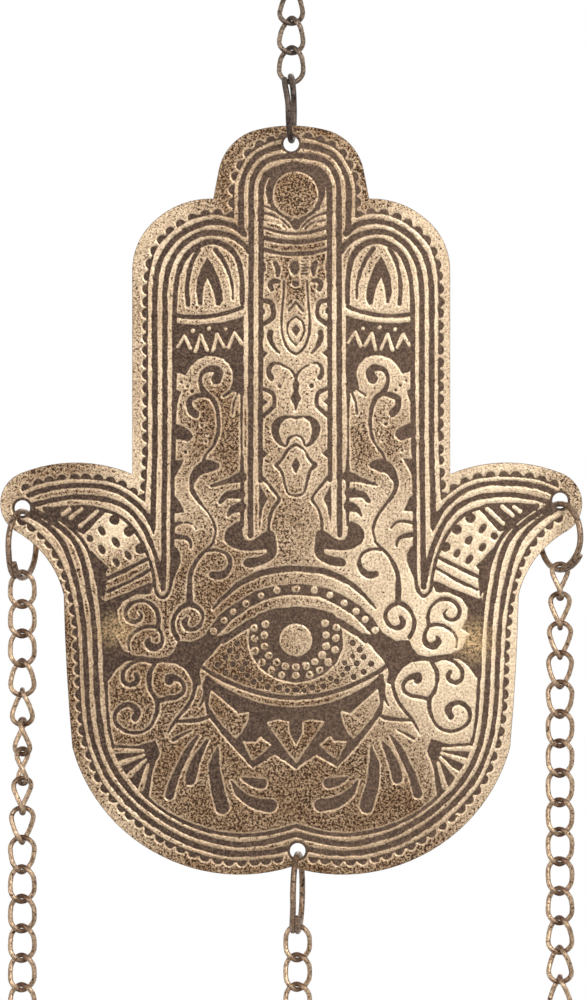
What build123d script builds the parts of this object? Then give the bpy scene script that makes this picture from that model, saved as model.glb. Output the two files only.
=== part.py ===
"""A hamsa hand: an etched brass plate hung on twisted curb chain by wire rings."""
import os
from math import copysign, cos, radians, sin

from build123d import *

os.makedirs("parts", exist_ok=True)

# Brass sheet of the hand
plate_thickness = 0.8
etch_depth = 0.25

# Outline of the hand, from its centre line and from the line of the thumb holes
finger_tip = 75.9
finger_half = 15.6
finger_notch = 61.3
hand_half = 31.8
shoulder_drop = 14.3
thumb_root = 6.2
thumb_crown = 8.5
thumb_length = 13.2
thumb_under = 5.2
palm_half = 45.0
wrist_turn = 48.5
lobe_depth = 74.0
cusp_rise = 1.6

# Punched holes, each at its own place on the hand-marked blank
hole_diameter = 3.1
top_hole_margin = 3.6
thumb_hole_margin = 4.4
left_hole_rise = -0.6
right_hole_rise = 0.9
bottom_hole_shift = 1.3
bottom_hole_margin = 3.2

# Etched relief
rim_width = 2.1
border_line = 0.8
border_pitch = 2.0
border_lines = 1
print_shift = 0.6
finger_disc_diameter = 9.8
finger_disc_drop = 13.1
eye_half_width = 18.0
eye_corner = -32.0
eye_top = -20.6
eye_bottom = -38.4
iris_diameter = 18.4
pupil_diameter = 6.6
pupil_height = -27.0

# Wire rings, each bent by hand to its own size, with ends that lie side by side
ring_wire = 1.2
hanging_ring_inside = 12.6
top_ring_inside = 11.6
left_ring_inside = 12.1
right_ring_inside = 12.0
bottom_ring_inside = 14.2
ring_lap = 45.0
ring_straight = 135.0
ring_steps = 27
lap_spacing = 1.4
top_lap_spacing = 2.0
hanging_lap_from = 150.0
top_lap_from = 120.0
lower_lap_from = 210.0

# Chain links, bent as flat ovals and then twisted
link_length = 8.0
link_width = 5.8
link_wire = 1.0
link_twist = 42.0
bend_step = 40.0
wire_sides = 6

# Play between wires that hang in each other, and between a ring and its hole
wire_play = 0.1
hole_play = 0.3

# Chains
top_links = 3
side_links = 15
bottom_links = 3
top_turn = 10.0
top_last_yaw = -12.0
left_turn = 22.5
left_turn_first = 3
left_turn_last = 11
right_turn = 13.0
right_turn_first = 6
right_turn_last = 11

# How far each ring is turned from the plane of the hand
hanging_ring_yaw = 0.0
top_ring_yaw = 84.0
left_ring_yaw = 70.0
right_ring_yaw = 123.0
bottom_ring_yaw = 83.0

# Places that follow from the sizes above, downwards from the inside top of the hanging ring
hole_radius = hole_diameter / 2
thumb_reach = palm_half + thumb_length
cusp_depth = lobe_depth - cusp_rise
link_half = (link_length - link_wire) / 2
bend_radius = (link_width - link_wire) / 2
leg_half = link_half - bend_radius
link_pitch = 2 * link_half - link_wire - wire_play
ring_on_link = (ring_wire + link_wire) / 2 + wire_play
ring_in_hole = ring_wire / 2 + hole_play
hanging_ring_height = -hanging_ring_inside / 2
hanging_ring_foot = -hanging_ring_inside - ring_wire / 2
top_chain_height = hanging_ring_foot + ring_on_link - link_half
last_top_link = top_chain_height - (top_links - 1) * link_pitch
top_ring_height = last_top_link - link_half + ring_on_link - (top_ring_inside + ring_wire) / 2
top_ring_foot = top_ring_height - (top_ring_inside + ring_wire) / 2
top_hole = finger_tip - top_hole_margin
plate_height = top_ring_foot + ring_in_hole - hole_radius - top_hole
thumb_hole = thumb_reach - thumb_hole_margin
bottom_hole = bottom_hole_margin - cusp_depth


def ring_below_hole(hole_height, inside):
    """Height of the centre of a ring that hangs in a hole of the plate."""
    return plate_height + hole_height - hole_radius + ring_in_hole - (inside + ring_wire) / 2


def chain_below_ring(ring_height, inside):
    """Height of the first link of a chain that hangs in a ring."""
    return ring_height - (inside + ring_wire) / 2 + ring_on_link - link_half


def wire_ring(name, place, height, yaw, inside, lap_from, spacing):
    """Bend round wire into a ring in an upright plane turned by yaw, and pass its ends sideways."""
    across = Vector(cos(radians(yaw)), sin(radians(yaw)), 0)
    facing = Vector(sin(radians(yaw)), -cos(radians(yaw)), 0)
    upward = Vector(0, 0, 1)
    half_turn = 180 + ring_lap / 2
    with BuildPart() as ring:
        for step in range(ring_steps + 1):
            turn = half_turn * (2 * step / ring_steps - 1)
            angle = radians(lap_from + half_turn + turn)
            bent = max(abs(turn) - ring_straight, 0) / (half_turn - ring_straight)
            aside = copysign(spacing / 2 * bent**2 * (3 - 2 * bent), -turn * spacing)
            outward = across * cos(angle) + upward * sin(angle)
            ahead = upward * cos(angle) - across * sin(angle)
            middle = outward * (inside + ring_wire) / 2 + facing * aside
            with BuildSketch(Plane(Vector(place, 0, height) + middle, x_dir=outward, z_dir=ahead)):
                RegularPolygon(ring_wire / 2, wire_sides)
        loft(ruled=True)
    ring.part.label = name
    export_step(ring.part, f"parts/{name}.step")


def wire_section(place, height, yaw, turn, bend, side):
    """Plane across the wire of a link, where the flat oval has turned that far from its top."""
    out = bend_radius * sin(radians(turn))
    up = bend * leg_half + bend_radius * cos(radians(turn))
    twist_rate = -radians(link_twist) / link_half
    angle = radians(yaw) + twist_rate * up
    ahead = cos(radians(turn))
    down = sin(radians(turn))
    sideways = -out * twist_rate * down
    return Plane(
        (place + side * out * cos(angle), side * out * sin(angle), height + up),
        x_dir=(side * down * cos(angle), side * down * sin(angle), ahead),
        z_dir=(
            side * (ahead * cos(angle) - sideways * sin(angle)),
            side * (ahead * sin(angle) + sideways * cos(angle)),
            -down,
        ),
    )


def twisted_link(name, place, height, yaw):
    """Make one closed link, twisted from end to end; its facets roll half a side along each leg."""
    turns = [0, bend_step, 2 * bend_step]
    with BuildPart() as link:
        for side in (1, -1):
            for turn in turns:
                with BuildSketch(wire_section(place, height, yaw, turn, 1, side)):
                    RegularPolygon(link_wire / 2, wire_sides)
            for turn in reversed(turns):
                with BuildSketch(wire_section(place, height, yaw, 180 - turn, -1, side)):
                    RegularPolygon(link_wire / 2, wire_sides, rotation=180 / wire_sides)
            loft(ruled=True)
    link.part.label = name
    export_step(link.part, f"parts/{name}.step")


# Hanging ring, which a hook or nail bears on from inside
wire_ring(
    "hanging_ring", 0, hanging_ring_height, hanging_ring_yaw,
    hanging_ring_inside, hanging_lap_from, lap_spacing,
)

# Top chain, turning a little on its way down to the face of the hand
for number in range(1, top_links + 1):
    turned = top_last_yaw + top_turn * (number - top_links)
    link_height = top_chain_height - (number - 1) * link_pitch
    twisted_link(f"top_link_{number:02d}", 0, link_height, turned)

# Ring through the middle finger
wire_ring(
    "top_ring", 0, top_ring_height, top_ring_yaw,
    top_ring_inside, top_lap_from, -top_lap_spacing,
)

# Outline of the hand, drawn as its right half and mirrored
with BuildSketch() as hand_outline:
    with BuildLine():
        tip_end = (0.51 * finger_half, finger_tip - 1.15)
        side_top = (0.93 * finger_half, finger_tip - 8.9)
        notch = (finger_half, finger_notch)
        ThreePointArc((0, finger_tip), (0.26 * finger_half, finger_tip - 0.28), tip_end)
        ThreePointArc(tip_end, (0.775 * finger_half, finger_tip - 4.0), side_top)
        Line(side_top, notch)
        finger_step = hand_half - finger_half
        shoulder = (hand_half - 0.284 * finger_step, finger_notch - 0.3 * shoulder_drop)
        shoulder_rise = (hand_half - 0.605 * finger_step, finger_notch - 0.077 * shoulder_drop)
        shoulder_turn = (hand_half - 0.099 * finger_step, finger_notch - 0.56 * shoulder_drop)
        hand_side = (hand_half, finger_notch - shoulder_drop)
        ThreePointArc(notch, shoulder_rise, shoulder)
        ThreePointArc(shoulder, shoulder_turn, hand_side)
        root = (hand_half, thumb_root)
        Line(hand_side, root)
        thumb_top = (thumb_reach - 4.2, thumb_crown - 2.1)
        under_tip = (thumb_reach - 3.0, -thumb_under)
        crown = ((hand_half + thumb_reach) / 2 - 1.5, thumb_crown)
        ThreePointArc(root, crown, thumb_top)
        ThreePointArc(thumb_top, (thumb_reach, 0.7), under_tip)
        wrist = (palm_half + 0.5, -thumb_under - 12.8)
        armpit = (palm_half + 3.6, -thumb_under - 5.9)
        ThreePointArc(under_tip, armpit, wrist)
        palm_turn = (0.973 * palm_half, -wrist_turn)
        ThreePointArc(wrist, (palm_half, -0.65 * wrist_turn), palm_turn)
        lobe_height = lobe_depth - wrist_turn
        lobe_side = (0.578 * palm_half, -lobe_depth + 0.149 * lobe_height)
        lobe_turn = (0.849 * palm_half, -lobe_depth + 0.549 * lobe_height)
        ThreePointArc(palm_turn, lobe_turn, lobe_side)
        ThreePointArc(lobe_side, (0.289 * palm_half, -lobe_depth + 0.15), (0, -cusp_depth))
        mirror(about=Plane.YZ)
    make_face()
hand_shape = hand_outline.face()

# Hand plate: a flat sheet with its punched holes, and the raised lines that the acid left
hole_places = [
    (0, top_hole),
    (-thumb_hole, left_hole_rise),
    (thumb_hole, right_hole_rise),
    (bottom_hole_shift, bottom_hole),
]
sheet_thickness = plate_thickness - etch_depth
back_face = Plane((0, plate_thickness / 2, plate_height), x_dir=(1, 0, 0), z_dir=(0, -1, 0))
with BuildPart() as hand_plate:
    with BuildSketch(back_face):
        add(hand_shape)
        with Locations(*hole_places):
            Circle(hole_radius, mode=Mode.SUBTRACT)
    extrude(amount=sheet_thickness)
    with BuildSketch(back_face.offset(sheet_thickness)):
        add(hand_shape)
        offset(hand_shape, amount=-rim_width, mode=Mode.SUBTRACT)
        for line in range(border_lines):
            outside = rim_width + border_line / 2 + line * border_pitch
            inside = outside + border_line
            offset(hand_shape, amount=-outside, mode=Mode.ADD)
            offset(hand_shape, amount=-inside, mode=Mode.SUBTRACT)
        with Locations((print_shift, finger_tip - finger_disc_drop)):
            Circle(finger_disc_diameter / 2)
        with BuildLine():
            left_corner = (print_shift - eye_half_width, eye_corner)
            right_corner = (print_shift + eye_half_width, eye_corner)
            ThreePointArc(left_corner, (print_shift, eye_top), right_corner)
            ThreePointArc(right_corner, (print_shift, eye_bottom), left_corner)
        make_face()
        with Locations((print_shift, pupil_height)):
            Circle(iris_diameter / 2, mode=Mode.SUBTRACT)
            Circle(pupil_diameter / 2)
        with Locations(*hole_places):
            Circle(hole_radius, mode=Mode.SUBTRACT)
    extrude(amount=etch_depth)
hand_plate.part.label = "hand_plate"
export_step(hand_plate.part, "parts/hand_plate.step")

# Ring and chain under each thumb, the left chain with half a turn in it
left_ring_height = ring_below_hole(left_hole_rise, left_ring_inside)
left_chain_height = chain_below_ring(left_ring_height, left_ring_inside)
wire_ring(
    "left_ring", -thumb_hole, left_ring_height, left_ring_yaw,
    left_ring_inside, lower_lap_from, lap_spacing,
)
for number in range(1, side_links + 1):
    turned = min(max(number, left_turn_first), left_turn_last) - left_turn_first
    link_height = left_chain_height - (number - 1) * link_pitch
    twisted_link(f"left_link_{number:02d}", -thumb_hole, link_height, -left_turn * turned)

right_ring_height = ring_below_hole(right_hole_rise, right_ring_inside)
right_chain_height = chain_below_ring(right_ring_height, right_ring_inside)
wire_ring(
    "right_ring", thumb_hole, right_ring_height, right_ring_yaw,
    right_ring_inside, lower_lap_from, lap_spacing,
)
for number in range(1, side_links + 1):
    turned = number - min(max(number, right_turn_first), right_turn_last)
    link_height = right_chain_height - (number - 1) * link_pitch
    twisted_link(f"right_link_{number:02d}", thumb_hole, link_height, -right_turn * turned)

# Ring and chain under the palm
bottom_ring_height = ring_below_hole(bottom_hole, bottom_ring_inside)
bottom_chain_height = chain_below_ring(bottom_ring_height, bottom_ring_inside)
wire_ring(
    "bottom_ring", bottom_hole_shift, bottom_ring_height, bottom_ring_yaw,
    bottom_ring_inside, lower_lap_from, lap_spacing,
)
for number in range(1, bottom_links + 1):
    link_height = bottom_chain_height - (number - 1) * link_pitch
    twisted_link(f"bottom_link_{number:02d}", bottom_hole_shift, link_height, 0)
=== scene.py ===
"""A hamsa hand of etched brass, hung on twisted chain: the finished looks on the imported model."""
from math import cos, radians, sin

import bpy
import numpy as np
from mathutils import Matrix, Vector
from mathutils.geometry import delaunay_2d_cdt


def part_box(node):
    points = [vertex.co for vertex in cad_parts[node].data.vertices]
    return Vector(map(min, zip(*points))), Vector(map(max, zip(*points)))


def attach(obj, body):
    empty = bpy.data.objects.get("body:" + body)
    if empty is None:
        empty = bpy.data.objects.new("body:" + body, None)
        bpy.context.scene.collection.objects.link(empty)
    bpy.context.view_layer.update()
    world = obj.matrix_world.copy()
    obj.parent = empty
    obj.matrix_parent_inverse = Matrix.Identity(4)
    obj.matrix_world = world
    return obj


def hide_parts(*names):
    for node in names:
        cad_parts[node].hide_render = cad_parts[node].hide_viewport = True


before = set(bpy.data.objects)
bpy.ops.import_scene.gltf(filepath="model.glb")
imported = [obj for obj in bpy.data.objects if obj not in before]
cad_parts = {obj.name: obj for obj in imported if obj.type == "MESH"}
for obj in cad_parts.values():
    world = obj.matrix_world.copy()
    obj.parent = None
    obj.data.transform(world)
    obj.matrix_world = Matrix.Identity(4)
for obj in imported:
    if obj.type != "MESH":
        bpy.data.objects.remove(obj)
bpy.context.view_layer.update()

# Hanging ring: an open ring of round brass wire on the nail or hook. It was cut off a coil with
# pliers, bent by hand until its ends lay side by side, and browned with the rest of the metal.
MM = 0.001
ring_wire = 1.2 * MM
wire_sides = 14


def tube(name, path, radii, closed):
    """Round wire along a path in metres, with its ends cut square if it is open."""
    path = np.array(path, float)
    count = len(path)
    if closed:
        ahead = np.roll(path, -1, axis=0) - np.roll(path, 1, axis=0)
    else:
        ahead = np.gradient(path, axis=0)
    ahead /= np.linalg.norm(ahead, axis=1)[:, None]
    off_the_wire = (0.31, 0.55, 0.77)
    normal = np.cross(ahead[0], off_the_wire)
    normals = []
    for tangent in ahead:
        normal = normal - tangent * (normal @ tangent)
        normal = normal / np.linalg.norm(normal)
        normals.append(normal)
    normals = np.array(normals)
    roll = np.zeros(count)
    if closed:
        last = normals[-1] - ahead[0] * (normals[-1] @ ahead[0])
        slip = np.arctan2(np.cross(normals[0], last) @ ahead[0], normals[0] @ last)
        roll = -slip * np.arange(count) / count
    binormals = np.cross(ahead, normals)
    spread = np.linspace(0, 2 * np.pi, wire_sides, endpoint=False) + roll[:, None]
    ring = normals[:, None] * np.cos(spread)[..., None] + binormals[:, None] * np.sin(spread)[..., None]
    verts = (path[:, None] + ring * np.array(radii)[:, None, None]).reshape(-1, 3)
    here = np.arange(count * wire_sides).reshape(count, wire_sides)
    beside = np.roll(here, -1, axis=1)
    quads = np.stack([here, beside, np.roll(beside, -1, axis=0), np.roll(here, -1, axis=0)], axis=2)
    faces = quads[:count if closed else -1].reshape(-1, 4).tolist()
    if not closed:
        faces += [here[0, ::-1].tolist(), here[-1].tolist()]
    mesh = bpy.data.meshes.new(name)
    mesh.from_pydata(verts.tolist(), [], faces)
    for face in mesh.polygons:
        face.use_smooth = len(face.vertices) == 4
    return mesh


def placed(name, data):
    """A new object in the scene."""
    made = bpy.data.objects.new(name, data)
    bpy.context.scene.collection.objects.link(made)
    return made


def open_ring(name, brass, place, yaw, inside, lap_from, spacing):
    """A ring in an upright plane; its ends pass each other sideways, and their cut edges are dulled."""
    across = np.array((cos(radians(yaw)), sin(radians(yaw)), 0))
    facing = np.array((sin(radians(yaw)), -cos(radians(yaw)), 0))
    radius = (inside * MM + ring_wire) / 2
    centre = np.array((place * MM, 0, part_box(name)[1].z - radius - ring_wire / 2))
    half_turn, straight, steps = 202.5, 135.0, 131
    path = []
    for turn in np.linspace(-half_turn, half_turn, steps):
        angle = radians(lap_from + half_turn + turn)
        bent = max(abs(turn) - straight, 0) / (half_turn - straight)
        aside = np.copysign(spacing * MM / 2 * bent**2 * (3 - 2 * bent), -turn * spacing)
        outward = across * cos(angle) + np.array((0, 0, sin(angle)))
        path.append(centre + outward * radius + facing * aside)
    pulled_back, stub, cut_radius = 0.7, 0.3, 0.41 * ring_wire
    tips = []
    for end, inner in ((0, 1), (-1, -2)):
        path[end] = path[end] + (path[inner] - path[end]) * pulled_back
        tips.append(path[end] + (path[end] - path[inner]) * stub)
    path = [tips[0]] + path + [tips[1]]
    radii = [cut_radius] + [ring_wire / 2] * steps + [cut_radius]
    piece = placed(name + "_wire", tube(name + "_wire", path, radii, False))
    piece.data.materials.append(brass)
    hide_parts(name)
    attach(piece, name)


def srgb(*colour):
    """A colour written as it looks on a screen, from 0 to 255."""
    return tuple(((c / 255 + 0.055) / 1.055) ** 2.4 for c in colour) + (1,)


def feed(tree, socket, value):
    """Join an output to a socket, or set the socket to a value."""
    if isinstance(value, bpy.types.NodeSocket):
        tree.links.new(value, socket)
    else:
        socket.default_value = value


def node(tree, kind, *values, **settings):
    """One shader node. Settings are its own properties or sockets by name; values fill sockets in order."""
    made = tree.nodes.new(kind)
    made.location = (200 * len(tree.nodes), 0)
    for name, value in settings.items():
        if hasattr(made, name):
            setattr(made, name, value)
        else:
            feed(tree, made.inputs[name.replace("_", " ")], value)
    for socket, value in zip(made.inputs, values):
        feed(tree, socket, value)
    return made


def reckon(tree, operation, *values, **settings):
    """A sum of single values."""
    return node(tree, "ShaderNodeMath", *values, operation=operation, **settings).outputs[0]


def ramp(tree, value, start, end, low=0.0, high=1.0, **settings):
    """A value that goes from low to high between start and end."""
    made = node(tree, "ShaderNodeMapRange", Value=value, From_Min=start, From_Max=end, To_Min=low,
                To_Max=high, **settings)
    return made.outputs["Result"]


def blend(tree, share, colour, other):
    """A colour with a share of another in it."""
    made = node(tree, "ShaderNodeMix", data_type="RGBA", Factor=share, A=colour, B=other)
    return made.outputs["Result"]


def blank(name):
    """A new material, and its node tree."""
    material = bpy.data.materials.new(name)
    material.use_nodes = True
    return material, material.node_tree


def coat(tree, **sockets):
    """Set or join sockets of a material's own shader."""
    for name, value in sockets.items():
        feed(tree, tree.nodes["Principled BSDF"].inputs[name.replace("_", " ")], value)


def tarnish_group():
    """Old patina on brass: blotches that grow together, dark pits, and a fine grain over all of it."""
    group = bpy.data.node_groups.new("old_patina", "ShaderNodeTree")
    put = group.interface.new_socket
    put("Place", in_out="INPUT", socket_type="NodeSocketVector")
    for name in ("Blotch size", "Pit size", "Age", "Pitting"):
        put(name, in_out="INPUT", socket_type="NodeSocketFloat")
    for name in ("Blotch", "Pit", "Grain"):
        put(name, in_out="OUTPUT", socket_type="NodeSocketFloat")
    given = node(group, "NodeGroupInput").outputs

    def noise(scale, detail, rough, warp=0.0):
        made = node(group, "ShaderNodeTexNoise", Vector=given["Place"], Scale=scale, Detail=detail,
                    Roughness=rough, Distortion=warp)
        return made.outputs["Fac"]

    grown = reckon(group, "ADD", noise(given["Blotch size"], 7.0, 0.68), given["Age"])
    depth_per_pitting = 0.22
    deep = reckon(group, "MULTIPLY_ADD", given["Pitting"], depth_per_pitting,
                  noise(given["Pit size"], 4.0, 0.62, 0.6))
    node(group, "NodeGroupOutput", Blotch=ramp(group, grown, 0.42, 1.42),
         Pit=ramp(group, deep, 0.635, 0.675, interpolation_type="SMOOTHSTEP"),
         Grain=ramp(group, noise(2300.0, 3.0, 0.7), 0.36, 0.64))
    return group


old_patina = tarnish_group()


def patina_on(tree, place, blotch_size, pit_size, age, pitting):
    """The patina's three masks at a place on the metal."""
    made = node(tree, "ShaderNodeGroup", node_tree=old_patina, Place=place, Blotch_size=blotch_size,
                Pit_size=pit_size, Age=age, Pitting=pitting)
    return made.outputs["Blotch"], made.outputs["Pit"], made.outputs["Grain"]


def wire_brass(name, bright, brown, dark, age, rough, grime_and_shade=0.0):
    """Browned brass wire, flecked and spotted by tarnish, with dirt and painted shade where links bear on
    each other.
    """
    material, tree = blank(name)
    place = node(tree, "ShaderNodeTexCoord").outputs["Object"]
    chance = node(tree, "ShaderNodeObjectInfo").outputs["Random"]
    shift = node(tree, "ShaderNodeVectorMath", (0.31, 0.17, 0.23), operation="SCALE", Scale=chance)
    moved = node(tree, "ShaderNodeVectorMath", place, shift.outputs["Vector"], operation="ADD")
    height = node(tree, "ShaderNodeSeparateXYZ", place).outputs["Z"]
    # Browner towards both ends of a link, where it bears on the next: dirt, and painted shade between the
    # links.
    bearing_grime_and_shade = ramp(tree, reckon(tree, "ABSOLUTE", height), 2.3 * MM, 3.6 * MM, age, age + grime_and_shade)
    blotch, pit, grain = patina_on(
        tree, moved.outputs["Vector"], blotch_size=420.0, pit_size=1500.0, age=bearing_grime_and_shade, pitting=age - 0.12)
    rubbed = blend(tree, blotch, bright, brown)
    flecked = blend(tree, ramp(tree, grain, 0.7, 0.1, 0.0, 0.75), rubbed, brown)
    relief = node(tree, "ShaderNodeBump", invert=True, Strength=0.35, Distance=0.08 * MM, Height=pit)
    coat(tree, Metallic=0.7, Base_Color=blend(tree, pit, flecked, dark),
         Roughness=ramp(tree, blotch, 0.0, 1.0, rough, rough + 0.25), Normal=relief.outputs["Normal"])
    return material


dark_brass = wire_brass(
    "ring_brass_dark", srgb(122, 106, 94), srgb(78, 66, 58), srgb(46, 38, 34), age=0.55, rough=0.4)
open_ring("hanging_ring", dark_brass, place=0, yaw=0, inside=12.6, lap_from=150, spacing=1.4)

# Top chain: three links of stock curb chain. Each is an oval of round brass wire, butted shut and
# then twisted along its length so that the chain lies flat; it is browned and rubbed like the rings.
link_length, link_width, link_wire = 8.0 * MM, 5.8 * MM, 1.0 * MM
link_twist = 42.0


def link_mesh(name, brass):
    """One twisted link about its own centre, with the faint seam where its wire meets itself."""
    half, bend = (link_length - link_wire) / 2, (link_width - link_wire) / 2
    leg = half - bend
    quarter = np.pi * bend / 2
    half_round = 2 * quarter + 2 * leg
    steps, seam_half, seam_waist = 72, 0.2 * MM, 0.9
    path, radii = [], []
    for run in np.linspace(0, 2 * half_round, steps, endpoint=False):
        side = 1 if run < half_round else -1
        down = run if run < half_round else run - half_round
        if down < quarter:
            out, up = bend * sin(down / bend), leg + bend * cos(down / bend)
        elif down < quarter + 2 * leg:
            out, up = bend, leg - (down - quarter)
        else:
            turn = (down - quarter - 2 * leg) / bend
            out, up = bend * cos(turn), -leg - bend * sin(turn)
        angle = radians(-link_twist * side * up / half)
        path.append((side * out * cos(angle), side * out * sin(angle), side * up))
        at_seam = abs(run - quarter - leg) < seam_half
        radii.append(link_wire / 2 * (seam_waist if at_seam else 1.0))
    mesh = tube(name, path, radii, True)
    mesh.materials.append(brass)
    return mesh


chain_link = link_mesh("chain_link", wire_brass(
    "chain_brass", srgb(242, 212, 176), srgb(94, 64, 45), srgb(54, 39, 29), age=0.32, rough=0.28,
    grime_and_shade=0.55))
top_chain_link = link_mesh("top_chain_link", wire_brass(
    "top_chain_brass", srgb(200, 175, 151), srgb(62, 49, 41), srgb(40, 33, 29), age=0.38, rough=0.3,
    grime_and_shade=0.45))


def hang_link(name, yaw, link=chain_link):
    """Put a link where its place in the chain is, turned about the chain's line."""
    low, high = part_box(name)
    piece = placed(name + "_wire", link)
    centre = Vector(((low.x + high.x) / 2, (low.y + high.y) / 2, high.z - link_length / 2))
    piece.matrix_world = Matrix.Translation(centre) @ Matrix.Rotation(radians(yaw), 4, "Z")
    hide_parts(name)
    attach(piece, name)


for number in (1, 2, 3):
    hang_link(f"top_link_{number:02d}", -12 + 10 * (number - 3), top_chain_link)

# Top ring: the heaviest browned ring, which carries the whole hand. It passes through the hole in
# the middle finger, and the end of its wire stands out beside its front.
open_ring("top_ring", dark_brass, place=0, yaw=85, inside=11.6, lap_from=120, spacing=-2.0)

# Hand plate: 0.8 mm brass sheet sawn to the outline of a hand and punched for its rings. The pattern was
# drawn on it in wax and the bare metal eaten a quarter millimetre deep, blackened, and rubbed bright.
front, floor_of_etch, back = -0.4, -0.15, 0.4
finger_tip = 75.9
plate_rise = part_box("hand_plate")[1].z / MM - finger_tip
grid_left, grid_low, grid_step = -60.0, -76.0, 0.15
across_places = np.arange(grid_left, 60.01, grid_step)
up_places = np.arange(grid_low, 78.01, grid_step)
eaten = np.full((len(up_places), len(across_places)), -1.0)
margin = 0.6


def nearby(points, reach):
    """The part of the sheet round some points."""
    low, high = np.min(points, axis=0) - reach, np.max(points, axis=0) + reach
    a, b = np.searchsorted(across_places, (low[0], high[0]))
    c, d = np.searchsorted(up_places, (low[1], high[1]))
    return slice(c, d), slice(a, b), across_places[None, a:b], up_places[c:d, None]


def mark(rows, cols, gap, etch):
    """Eat the sheet where gap is below zero, or keep it standing there."""
    here = eaten[rows, cols]
    eaten[rows, cols] = np.maximum(here, -gap) if etch else np.minimum(here, gap)


def smooth_run(points, widths, spacing=0.5):
    """Close points on a smooth curve through the drawn ones, with the width of the line at each."""
    drawn = np.array(points, float)
    widths = np.atleast_1d(np.array(widths, float))
    wide = np.interp(np.linspace(0, 1, len(drawn)), np.linspace(0, 1, len(widths)), widths)
    ends = np.vstack([2 * drawn[0] - drawn[1], drawn, 2 * drawn[-1] - drawn[-2]])
    run, run_wide = [], []
    for i in range(len(drawn) - 1):
        a, b, c, d = ends[i:i + 4]
        count = max(2, int(np.hypot(*(c - b)) / spacing) + 1)
        t = np.linspace(0, 1, count, endpoint=False)[:, None]
        bow = (2 * a - 5 * b + 4 * c - d) * t**2 + (3 * b - a - 3 * c + d) * t**3
        run.append(b + 0.5 * ((c - a) * t + bow))
        run_wide.append(wide[i] + (wide[i + 1] - wide[i]) * t[:, 0])
    return np.vstack(run + [drawn[-1:]]), np.concatenate(run_wide + [wide[-1:]])


def from_segment(x, z, a, b):
    """Distance from the line between two points, and how far along it the nearest point is."""
    d = b - a
    t = np.clip(((x - a[0]) * d[0] + (z - a[1]) * d[1]) / max(d @ d, 1e-9), 0, 1)
    return np.hypot(x - a[0] - t * d[0], z - a[1] - t * d[1]), t


def within(x, z, loop):
    """Which places lie inside a loop."""
    inside = np.zeros(np.broadcast(x, z).shape, bool)
    for a, b in zip(loop, np.roll(loop, -1, axis=0)):
        if a[1] != b[1]:
            inside ^= ((z < a[1]) != (z < b[1])) & (x < a[0] + (z - a[1]) * (b[0] - a[0]) / (b[1] - a[1]))
    return inside


def draw(points, widths, etch):
    """A line through points, as wide as it is given along its way."""
    run, wide = smooth_run(points, widths)
    for a, b, wide_a, wide_b in zip(run[:-1], run[1:], wide[:-1], wide[1:]):
        rows, cols, x, z = nearby(np.array([a, b]), max(wide_a, wide_b) / 2 + margin)
        gap, t = from_segment(x, z, a, b)
        mark(rows, cols, gap - (wide_a + (wide_b - wide_a) * t) / 2, etch)


def fill(points, etch, spread):
    """The space inside some corners."""
    corners = np.array(points, float)
    rows, cols, x, z = nearby(corners, margin)
    edges = zip(corners, np.roll(corners, -1, axis=0))
    gap = np.min([from_segment(x, z, a, b)[0] for a, b in edges], axis=0)
    mark(rows, cols, np.where(within(x, z, corners), -gap, gap) - spread, etch)


def spot(centre, long, short, lean, etch, steep=1):
    """A round or oval that leans."""
    rows, cols, x, z = nearby(np.array([centre]), max(long, short) + margin)
    c, s = cos(radians(lean)), sin(radians(lean))
    x, z = x - centre[0], z - centre[1]
    away = np.hypot((x * c + z * s) / long, (z * c - x * s) / short)
    mark(rows, cols, (away - 1) * min(long, short) * steep, etch)


def other_hand(points):
    """The drawing was traced through to the left half a little wider and lower."""
    p = np.array(points, float)
    middle, wider, lower = 0.95, 1.04, 0.012
    return np.column_stack([middle - wider * (p[:, 0] - middle), p[:, 1] - lower * np.abs(p[:, 0])])


def groove(points, widths, etch=True):
    """An eaten line on both halves."""
    draw(points, widths, etch)
    draw(other_hand(points), widths, etch)


def ridge(points, widths):
    """A line left standing on both halves."""
    groove(points, widths, False)


def pool(points, etch=True, spread=0.0):
    """An eaten space on both halves."""
    fill(points, etch, spread)
    fill(other_hand(points), etch, spread)


def island(points):
    """A space left standing on both halves, a little past its corners."""
    pool(points, False, 0.3)


def rounded(points):
    """The same corners cut off twice."""
    run = np.array(points, float)
    for _ in range(2):
        ahead = np.roll(run, -1, axis=0)
        run = np.stack([0.75 * run + 0.25 * ahead, 0.25 * run + 0.75 * ahead], axis=1).reshape(-1, 2)
    return run


def pits(radius, *places, etch=True, steep=1):
    """Eaten dots on both halves."""
    for place in list(places) + other_hand(places).tolist():
        spot(place, radius, radius, 0, etch, steep)


def studs(radius, *places):
    """Dots left standing on both halves."""
    pits(radius, *places, etch=False)


# The border has an outer line with a row of half rounds along it, and two more lines inside that
outer_lines = [
    [(1.8, 73.1), (4, 72.8), (6.2, 72.1), (8.2, 71.2), (9.6, 70), (10.8, 68.2), (11.7, 66.3), (12.3, 64.3),
     (12.45, 62), (12.45, 59), (12.35, 56.9)],
    [(12.35, 56.9), (14, 57.4), (16, 57.85), (18, 57.8), (20, 57.3), (22, 56.4), (24, 55.1), (26, 53.3),
     (27.6, 50.9), (28.5, 48), (28.95, 44.5), (29.05, 40), (29.05, 30), (29.05, 12), (29.3, 6), (29.6, 0.4)],
    [(29.8, 0.3), (31.5, 1.6), (34, 3.5), (37, 4.75), (40, 5.15), (44, 5.3), (48, 4.9), (51, 4.1),
     (53.4, 3)],
    [(54.4, -1.4), (51.6, -3.2), (49.4, -5.2), (47.6, -7.4), (46, -10), (44.6, -13.6), (43.5, -18),
     (42.7, -23), (42.4, -27), (42.15, -33), (41.8, -40), (41, -46), (39.8, -50), (37.9, -54.6),
     (35.2, -58.4), (31.8, -61.9), (27.6, -65.2), (23, -67.8), (18.5, -69.5), (14, -70.5), (10, -70.6),
     (6, -70.3), (3.4, -69.9)],
]
round_pitch, round_radius, round_stand = 2.45, 1.0, 0.5
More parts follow.
